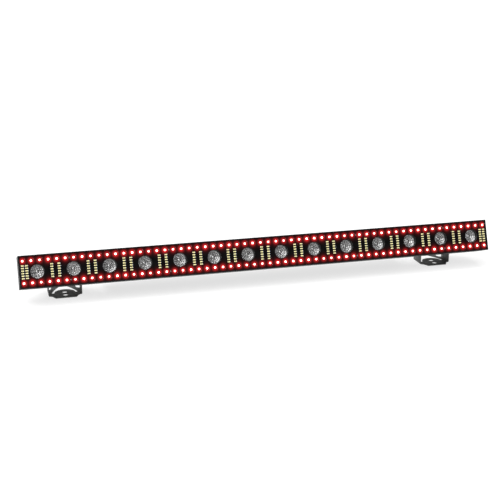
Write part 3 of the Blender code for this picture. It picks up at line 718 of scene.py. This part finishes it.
def build_trays():
    """Plates of round wells behind the boards, each with a fine step half way down."""
    ledge = bar_box("lens_tray_left")[0].y
    foot = bar_box("lens_tray_left")[1].y
    inner, step, outer, waist, plate_back = 0.0146, 0.0143, 0.016, 0.0126, ledge + 0.0016
    seat, middle_depth = LENS_FRONT + 0.0022, 0.0078
    profile = [(step, -seat), (step, -middle_depth - 0.0003), (inner, -middle_depth),
               (inner, -ledge), (inner + 0.0002, -ledge + 0.0002), (outer, -ledge + 0.0002),
               (waist + 0.00196, -foot), (waist, -foot), (waist, -seat), (step, -seat)]
    for name, side in SIDES:
        node = "lens_tray_" + name
        low, high = bar_box(node)
        xs = on_side(LENS_XS, side)
        outline = rounded((high.x - low.x) / 2, high.z, 0.001, ((low.x + high.x) / 2, 0))
        plate = prism([outline] + [circle(x, 0, (inner + outer) / 2, 72) for x in xs], ledge, plate_back)
        wells = spread(turned(profile, 72), [(x, 0, 0) for x in xs])
        stand_in(node, boolean(plate, "UNION", wells), WELL_PLASTIC)


def lens_heights(chance):
    """Rings of the lens's front from the middle out, as (radius, heights round the ring)."""
    steps, dome, rim = 96, 0.0036, 0.0128
    borders, cells, rows = (dome, 0.0066, 0.0098, rim), (6, 12, 16), 6
    hollow, ridge, lean = 0.0042, 0.0008, 0.0004

    def dish(radius):
        return -hollow * (1 - (radius / rim) ** 1.5)

    rings = []
    for radius in (0.0006, 0.0014, 0.0021, 0.0027, 0.0032):
        rings.append((radius, [dish(dome) + 0.0018 * math.sqrt(1 - (radius / dome) ** 2)] * steps))
    for inner, outer, count in zip(borders, borders[1:], cells):
        pebbles = [[chance.uniform(0.0001, 0.0008), chance.uniform(-lean, lean),
                    chance.uniform(-lean, lean)] for _ in range(count)]
        for row in range(rows):
            u = row / rows
            radius = inner + (outer - inner) * u
            heights = []
            for step in range(steps):
                cell, v = divmod(step * count / steps, 1)
                rise, lean_u, lean_v = pebbles[int(cell)]
                ring = 1 - (2 * u - 1) ** 2
                bubble = ring * (1 - (2 * v - 1) ** 2)
                heights.append(dish(radius) + ring * ridge
                               + bubble * (rise + lean_u * (2 * u - 1) + lean_v * (2 * v - 1)))
            rings.append((radius, heights))
    return rings + [(radius, [height] * steps) for radius, height in (
        (rim, 0), (rim + 0.0002, 0.0003), (rim + 0.0005, 0.0004), (0.0137, 0.0002),
        (LENS_RADIUS, -0.0003))]


def lens(seed):
    """One collimator: pebbled front, flange, and a cone behind with a hollow for its led."""
    back = LENS_FRONT - LENS_BACK
    rings = lens_heights(random.Random(seed))
    steps = len(rings[0][1])
    rings += [(radius, [height] * steps) for radius, height in (
        (LENS_RADIUS, -0.0019), (0.0122, -0.0019), (0.0093, back * 0.6), (0.006, back),
        (0.0034, back), (0.0024, back + 0.0035), (0.0008, back + 0.005))]
    bm = bmesh.new()
    turns = [2 * math.pi * i / steps for i in range(steps)]
    loops = [[bm.verts.new((radius * math.cos(turn), radius * math.sin(turn), height))
              for turn, height in zip(turns, heights)] for radius, heights in rings]
    for near, far in zip(loops, loops[1:]):
        for i in range(steps):
            bm.faces.new((near[i - 1], far[i - 1], far[i], near[i]))
    bm.faces.new(loops[0])
    bm.faces.new(loops[-1])
    bmesh.ops.recalc_face_normals(bm, faces=bm.faces)
    mesh = bpy.data.meshes.new("lens")
    bm.to_mesh(mesh)
    bm.free()
    return along(mesh, "Y")


def build_lenses():
    for number, node in enumerate(LENS_NODES):
        mesh = lens(number)
        mesh.transform(Matrix.Translation((LENS_XS[number], LENS_FRONT, 0)))
        stand_in(node, mesh, OPTIC, smooth=24)


# Ends ------------------------------------------------------------------------------------------

def build_end_screws():
    """Countersunk cross-head screws, flush in the end caps."""
    head, shank, sink = 0.003, 0.0015, 0.0015
    profile = [(0, -0.0002), (head - 0.0002, -0.0002), (head, -0.0004), (shank, -sink), (shank, -0.0118),
               (0, -0.0124)]
    for name, side in SIDES:
        for number in range(1, 5):
            node = f"end_cap_screw_{name}_{number}"
            recess = cross_recess(head, 0.0)
            recess.transform(Matrix.Translation((0, 0.0008, 0)))
            screw = boolean(turned(profile, 32), "DIFFERENCE", recess)
            screw.transform(Matrix.Rotation(math.radians(17 * number), 4, "Y"))
            screw.transform(Matrix.Rotation(side * math.pi / 2, 4, "Z"))
            centre = middle(node)
            screw.transform(Matrix.Translation((side * HALF_LENGTH, centre.y, centre.z)))
            stand_in(node, screw, ZINC)


# Rear ------------------------------------------------------------------------------------------

COVER_BACK = bar_box("rear_cover")[1].y
PANEL = bar_box("control_panel")
BUTTONS = [f"menu_button_{number}" for number in range(1, 5)]
REARWARD = Matrix.Rotation(math.pi, 4, "Z")


def facing_rear(mesh, x, y, z=0):
    """Turn a shape that faces -Y to the rear and put it there."""
    mesh.transform(Matrix.Translation((x, y, z)) @ REARWARD)
    return mesh


def build_control_panel():
    display, centre = bar_box("display_window"), (PANEL[0] + PANEL[1]) / 2
    glass_x, glass_half = (display[0].x + display[1].x) / 2, Vector((0.0327, 0, 0.0117))
    front = PANEL[1].y
    outline = rounded((PANEL[1].x - PANEL[0].x) / 2, PANEL[1].z, 0.004, (centre.x, 0))
    window = rounded(glass_half.x + GAP, glass_half.z + GAP, 0.0004, (glass_x, 0), 2)
    holes = [circle(middle(node).x, 0, 0.0053) for node in BUTTONS]
    plate = prism([outline, window] + holes, PANEL[0].y, front)
    stand_in("control_panel", eased(plate, 0.0003), BLACK_PLASTIC)

    glass = prism([rounded(glass_half.x, glass_half.z, 0.0004, (glass_x, 0), 2)], PANEL[0].y - 0.0002,
                  front - 0.0004)
    flange = box((glass_x - glass_half.x - 0.002, display[0].y, -glass_half.z - 0.002),
                 (glass_x + glass_half.x + 0.002, PANEL[0].y - GAP, glass_half.z + 0.002))
    stand_in("display_window", eased(boolean(glass, "UNION", flange), 0.0002), SMOKED)
    build_digits(glass_x, front - 0.0004)
    build_marks(front)
    places = [(centre.x + side_x * 0.0885, side_z * 0.0175) for side_x in (-1, 1) for side_z in (-1, 1)]
    heads = [facing_rear(screw_head(0.0022, 0.0007), x, front - 0.0001, z) for x, z in places]
    piece("panel_screws", joined(heads), (ZINC,), "batten")


def build_digits(x, depth):
    """Generic seven-segment digits that read 0001 from behind, where X runs to the left."""
    half_width, half_height, thick = 0.0028, 0.0058, 0.0006
    places = {"a": (0, 1), "b": (1, 0.5), "c": (1, -0.5), "d": (0, -1), "e": (-1, -0.5), "f": (-1, 0.5)}
    bars = []
    for number, keys in enumerate(("abcdef", "abcdef", "abcdef", "bc")):
        centre = x + (1.5 - number) * 0.0125
        for u, v in [places[key] for key in keys]:
            half = (thick, half_height / 2 - thick) if u else (half_width - thick, thick)
            outline = rounded(*half, thick * 0.8, (centre - u * half_width, v * half_height), 3)
            bars.append(prism([outline], depth - 0.0001, depth + 0.0001))
    piece("display_digits", joined(bars), (DIGITS,), "batten")


def build_marks(front):
    """Plain printed marks over the buttons: up, down, a dot and a square."""
    z, size = 0.0125, 0.0016
    shapes = [[(0, size), (size, -size), (-size, -size)], [(0, -size), (size, size), (-size, size)],
              circle(0, 0, size, 32), rounded(size, size, 0.0002)]
    marks = [prism([[(middle(node).x + u, z + v) for u, v in shape]], front - 0.0001, front + 0.00004)
             for node, shape in zip(reversed(BUTTONS), shapes)]
    piece("button_marks", joined(marks), (WHITE_PRINT,), "batten")


def build_buttons():
    key = [(0, 0.0019), (0.003, 0.002), (0.0041, 0.0022), (0.0047, 0.0019), (0.005, 0.0013),
           (0.005, -0.0027), (0.0062, -0.0027), (0.0062, -0.0041), (0.002, -0.0041),
           (0.002, -0.0071), (0, -0.0071)]
    for node in BUTTONS:
        button = turned(key, 48, flip=True)
        button.transform(Matrix.Translation((middle(node).x, PANEL[1].y, 0)))
        stand_in(node, button, RUBBER)


SOCKET_RADIUS = 0.011
SOCKET_FACE = 0.0023
SOCKET_DEPTH = 0.019
PIN_CIRCLE = 0.0042
PIN_PLACES = [(PIN_CIRCLE * math.cos(math.radians(turn)), PIN_CIRCLE * math.sin(math.radians(turn)))
              for turn in (30, 150, 270)]
SOCKET_SCREWS = ((-0.0095, 0.012), (0.0095, -0.012))


def socket_shell(recess, depth, core, core_depth):
    """A flange and a round body with a recess and a core in it, drawn about the cover's back."""
    face, lip, edge = SOCKET_FACE, 0.0005, 0.0003
    collar = face + 0.0002
    profile = [(0, face - core_depth), (core - edge, face - core_depth), (core, face - core_depth - edge),
               (core, face - depth), (recess, face - depth), (recess, collar - lip),
               (recess + lip, collar), (SOCKET_RADIUS, collar), (SOCKET_RADIUS, -SOCKET_DEPTH),
               (0, -SOCKET_DEPTH)]
    flange = prism([rounded(0.013, 0.0155, 0.003), circle(0, 0, recess + 0.0011, 64)], GAP, face)
    return boolean(turned(profile, 64, flip=True), "UNION", eased(flange, 0.0004))


def place_socket(node, shell, look, contacts=()):
    """Add a socket's two screws and any contacts, and put it in the cover at its CAD node."""
    heads = [facing_rear(screw_head(0.0019, 0.0009), u, SOCKET_FACE, v) for u, v in SOCKET_SCREWS]
    mesh = joined([looking(shell, 0), looking(joined(heads + list(contacts)), 1)])
    mesh.transform(Matrix.Translation((middle(node).x, COVER_BACK, 0)))
    stand_in(node, mesh, look, ZINC)


def round_pin(radius, low, high):
    """A contact pin with a round tip, pointing to the rear."""
    tip = [(radius * math.sin(t), high - radius * (1 - math.cos(t)))
           for t in (math.radians(18 * i) for i in range(6))]
    return turned(tip + [(radius, low), (0, low)], 24, flip=True)


def build_power_sockets():
    """Mains inlet and outlet: a core with three slots in a recess with two keyways."""
    for node, look in (("power_in_socket", BLUE_PLASTIC), ("power_out_socket", GREY_PLASTIC)):
        shell = socket_shell(0.0092, 0.014, 0.0045, 0.005)
        slots = [box((-0.0004, -0.008, 0.0009), (0.0004, 0, 0.0033))]
        slots += [box((x - 0.0004, -0.008, -0.0028), (x + 0.0004, 0, 0.0)) for x in (-0.0022, 0.0022)]
        keyways = [box((-0.0013, -0.0112, 0.0083), (0.0013, 0.004, 0.0104)),
                   box((0.0081, -0.0112, -0.0007), (0.0103, 0.004, 0.0007))]
        place_socket(node, boolean(shell, "DIFFERENCE", *(slots + keyways)), look)


def build_data_input():
    """A socket with three pins and a key."""
    shell = socket_shell(0.0094, 0.0155, 0.002, 0.015)
    key = eased(box((-0.0012, -0.0135, -0.0098), (0.0012, 0.0005, -0.0083)), 0.0003)
    pins = [round_pin(0.0012, -0.0142, -0.003) for _ in PIN_PLACES]
    for pin, (u, v) in zip(pins, PIN_PLACES):
        pin.transform(Matrix.Translation((u, 0, v)))
    place_socket("data_in_socket", boolean(shell, "UNION", key), BLACK_PLASTIC, pins)


def build_data_output():
    """A socket with three holes, notched for the ribbed latch that is pressed to free the plug."""
    latch = bar_box("data_out_latch")
    half = (latch[1] - latch[0]) / 2 + Vector((GAP, 0, GAP))
    z = (latch[0].z + latch[1].z) / 2
    shell = socket_shell(0.0086, 0.0065, 0.0078, 0.0055)
    holes = []
    for u, v in PIN_PLACES:
        profile = [(0, -0.0016), (0.0017, -0.0016), (0.0013, -0.0036), (0.0013, -0.012), (0, -0.012)]
        hole = turned(profile, 24, flip=True)
        hole.transform(Matrix.Translation((u, 0, v)))
        holes.append(hole)
    notch = box((-half.x, -0.0055, z - half.z), (half.x, 0.003, z + half.z))
    place_socket("data_out_socket", boolean(shell, "DIFFERENCE", *holes, notch), BLACK_PLASTIC)

    lever = eased(box(latch[0], latch[1]), 0.0006, 3)
    grooves = [box((latch[0].x - 0.001, latch[1].y - 0.0003, z + step - 0.0002),
                   (latch[1].x + 0.001, latch[1].y + 0.001, z + step + 0.0002))
              for step in (-0.0008, 0, 0.0008)]
    stand_in("data_out_latch", boolean(lever, "DIFFERENCE", *grooves), GREY_PLASTIC)


def build_fuse_cap():
    """A fuse carrier: ribbed rim, slot across its face, shaft into the cover."""
    ribs, height = 28, bar_box("fuse_cap")[1].y - COVER_BACK
    rim = []
    for step in range(ribs * 6):
        turn = 2 * math.pi * step / (ribs * 6)
        radius = 0.00683 + 0.00016 * math.cos(ribs * turn)
        rim.append((radius * math.cos(turn), radius * math.sin(turn)))
    cap = eased(prism([rim], GAP, height), 0.0007, 3, 50)
    shaft = [(0, 0.002), (0.006, 0.002), (0.006, -0.0115), (0.0055, -0.012), (0, -0.012)]
    slot = box((-0.0008, height - 0.0015, -0.0055), (0.0008, height + 0.001, 0.0055))
    cap = boolean(cap, "UNION", turned(shaft, 48, flip=True))
    cap = boolean(cap, "DIFFERENCE", slot)
    cap.transform(Matrix.Translation((middle("fuse_cap").x, COVER_BACK, 0)))
    stand_in("fuse_cap", cap, BLACK_PLASTIC)


def build_cover_screws():
    places = [(x, z) for x in (-0.321, -0.150, 0.208, 0.321) for z in (-0.019, 0.019)]
    heads = [facing_rear(screw_head(0.0028, 0.0013), x, COVER_BACK - 0.0001, z) for x, z in places]
    piece("cover_screws", joined(heads), (ZINC,), "batten")


# Brackets and pivots ---------------------------------------------------------------------------

SHEET = 0.0015
EAR_HALF = 0.019
BLOCK = bar_box("pivot_block_left")
PIVOT_DEPTH = middle("tilt_knob_left").y
BOLT_RADIUS = 0.004
HOLE_RADIUS = BOLT_RADIUS + GAP
WASHER = 0.0015
CLAMP_HOLES = (-0.018, 0.0)
CLAMP_HOLE_RADIUS = 0.00525


def crescent():
    """The crescent slot: a half circle in front, a taller pointed arch behind, flat ends."""
    start, half_width, rise, power, steps = -0.0045, 0.027, 0.052, 1.3, 48
    outer = []
    for step in range(steps + 1):
        across = math.cos(math.pi * step / steps)
        reach = (1 - abs(across) ** power) ** (1 / power)
        outer.append((half_width * across, start + rise * reach))
    return arc(0, start, 0.0215, 180, 0, 40) + outer


def base_outline(half, front, rear):
    """The base from above: a front tab with sloping sides and an arched band behind."""
    flat, root = half - SHEET - 0.0005, 0.038
    right = [(0.0205, -front), (0.0220, -front + 0.002), (0.0265, -EAR_HALF - 0.003),
             (flat, -EAR_HALF + 0.001), (flat, EAR_HALF - 0.0005)]
    right += arc(flat, 0.0265, 0.006, 270, 180, 10) + [(0.0250, 0.0330)]
    band = arc(0, 0, 1, 0, 90, 20)[:-1]
    right += [(0.0245 * across, root + (rear - root) * rise) for across, rise in band]
    return right + [(0, rear)] + [(-x, y) for x, y in reversed(right)]


def folded_section(half, foot):
    """The folded sheet from the front: a floor and two upright ears."""
    bend, top = 0.0025, EAR_HALF + 0.002
    outer = [(half, top)] + arc(half - bend, foot + bend, bend, 0, -90, 10)
    inner = arc(half - bend, foot + bend, bend - SHEET, -90, 0, 4) + [(half - SHEET, top)]
    return inner + outer + [(-x, z) for x, z in reversed(inner + outer)]


def build_brackets():
    for name, side in SIDES:
        node = "bracket_" + name
        pivot = Vector(joint("bracket_tilt_" + name)["pos_m"])
        low, high = (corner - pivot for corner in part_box(node))
        half, foot = high.x, low.z
        ear = [(-EAR_HALF, foot - 0.001), (EAR_HALF, foot - 0.001)] + arc(0, 0, EAR_HALF, 0, 180, 48)
        sheet = prism([folded_section(half, foot)], -EAR_HALF, EAR_HALF, "Y")
        sheet = boolean(sheet, "INTERSECT", prism([ear], -half - 0.001, half + 0.001, "X"))
        sheet = boolean(sheet, "UNION", prism([base_outline(half, -low.y, high.y)], foot, foot + SHEET, "Z"))
        floor = (foot - 0.001, foot + SHEET + 0.001)
        holes = [prism([circle(0, y, CLAMP_HOLE_RADIUS)], *floor, "Z") for y in CLAMP_HOLES]
        pivot_hole = prism([circle(0, 0, HOLE_RADIUS)], -half - 0.001, half + 0.001, "X")
        sheet = boolean(sheet, "DIFFERENCE", *holes, prism([crescent()], *floor, "Z"), pivot_hole)
        stand_in(node, eased(sheet, 0.0003, 2, 40), BRACKET_COAT, place=Matrix.Translation(pivot))


def build_pivots():
    """On each side a screwed-on block, two washers, the bolt through them and its knob."""
    half = (BLOCK[1].x - BLOCK[0].x) / 2
    start, end = BLOCK[0].y - PIVOT_DEPTH, BLOCK[0].y - PIVOT_DEPTH + 0.0045
    rim = 0.024
    for name, side in SIDES:
        place = BAR @ Matrix.Translation((side * abs(middle("pivot_block_left").x), PIVOT_DEPTH, 0))
        outline = [(start, -rim), (end, -rim)] + arc(0, 0, 0.0125, -110, 110, 32)
        outline += [(end, rim), (start, rim)]
        block = eased(prism([outline, circle(0, 0, HOLE_RADIUS)], -half, half, "X"), 0.0005)
        stand_in("pivot_block_" + name, block, ALUMINIUM, place=place)
        heads = [facing_rear(screw_head(0.0032, 0.0018), x, end - 0.0001, z)
                 for x in (-0.019, 0.019) for z in (-0.0185, 0.0185)]
        piece("pivot_screws_" + name, joined(heads), (ZINC,), "batten", place)
        for position, facing in (("inner", -side), ("outer", side)):
            node = f"friction_washer_{name}_{position}"
            low, high = sorted((facing * (half + GAP), facing * (half + GAP + WASHER)))
            washer = prism([circle(0, 0, 0.011), circle(0, 0, HOLE_RADIUS)], low, high, "X")
            stand_in(node, eased(washer, 0.0003), NYLON, place=place)
        build_bolt(name, side, place)
        build_knob(name, side, place)


def build_bolt(name, side, place):
    """A hexagon bolt whose head is chamfered and whose shank has a rolled thread near its end."""
    centre = abs(middle("pivot_block_left").x)
    top, end = (abs(corner.x) - centre for corner in bar_box("pivot_bolt_right"))
    under, pitch, turns = 0.0345, 0.00125, 12
    head = eased(prism([circle(0, 0, 0.0075, 6)], under, -top, "X"), 0.0005)
    shank = [(0, -end), (BOLT_RADIUS - 0.0008, -end), (BOLT_RADIUS, -end + 0.0008)]
    for turn in range(turns):
        start = -end + 0.0008 + turn * pitch
        shank += [(BOLT_RADIUS - 0.0005, start + pitch * 0.5), (BOLT_RADIUS, start + pitch)]
    shank += [(BOLT_RADIUS, under + 0.001), (0, under + 0.001)]
    bolt = boolean(head, "UNION", turned([(r, -h) for r, h in reversed(shank)], 32, "X", flip=True))
    if side > 0:
        bolt.transform(Matrix.Rotation(math.pi, 4, "Z"))
    stand_in("pivot_bolt_" + name, bolt, ZINC, place=place)


def build_knob(name, side, place):
    """A six-lobed hand knob with a hub and a dished cap over the bolt's end."""
    centre = abs(middle("pivot_block_left").x)
    low, high = (abs(corner.x) - centre for corner in bar_box("tilt_knob_right"))
    grip, steps = low + 0.006, 144
    lobes = []
    for step in range(steps):
        turn = 2 * math.pi * step / steps
        radius = 0.0185 + 0.0018 * math.cos(6 * turn)
        lobes.append((radius * math.cos(turn), radius * math.sin(turn)))
    knob = eased(prism([lobes], grip, high, "X"), 0.0018, 4, 50)
    hub = turned([(0, grip + 0.002), (0.0095, grip + 0.002), (0.0095, low + 0.0004), (0.0091, low),
                  (0, low)], 48, "X")
    dish = turned([(0, high + 0.001), (0.0108, high + 0.001), (0.0098, high - 0.0012),
                   (0, high - 0.0012)], 64, "X")
    bore = prism([circle(0, 0, HOLE_RADIUS, 32)], low - 0.001, 0.0523, "X")
    knob = boolean(boolean(knob, "UNION", hub), "DIFFERENCE", dish, bore)
    cap = turned([(0, high - 0.0006), (0.0055, high - 0.0007), (0.0085, high - 0.001), (0.009, high - 0.0013),
                  (0, high - 0.0013)], 64, "X")
    knob = joined([knob, cap])
    if side < 0:
        knob.transform(Matrix.Rotation(math.pi, 4, "Z"))
    stand_in("tilt_knob_" + name, knob, BLACK_PLASTIC, place=place)


# Everything ------------------------------------------------------------------------------------

CAD_LOOKS = {COAT: ("housing_channel", "end_cap_left", "end_cap_right", "rear_cover"),
             ALUMINIUM: ("led_carrier", "power_supply"),
             GREEN_BOARD: ("driver_board", "control_board"),
             WHITE_BOARD: ("beam_led_board_left", "beam_led_board_right")}

make_camera()
make_stage()
for look, nodes in CAD_LOOKS.items():
    for node in nodes:
        dress(node, look)
build_boards()
build_trays()
build_lenses()
build_end_screws()
build_control_panel()
build_buttons()
build_power_sockets()
build_data_input()
build_data_output()
build_fuse_cap()
build_cover_screws()
build_brackets()
build_pivots()
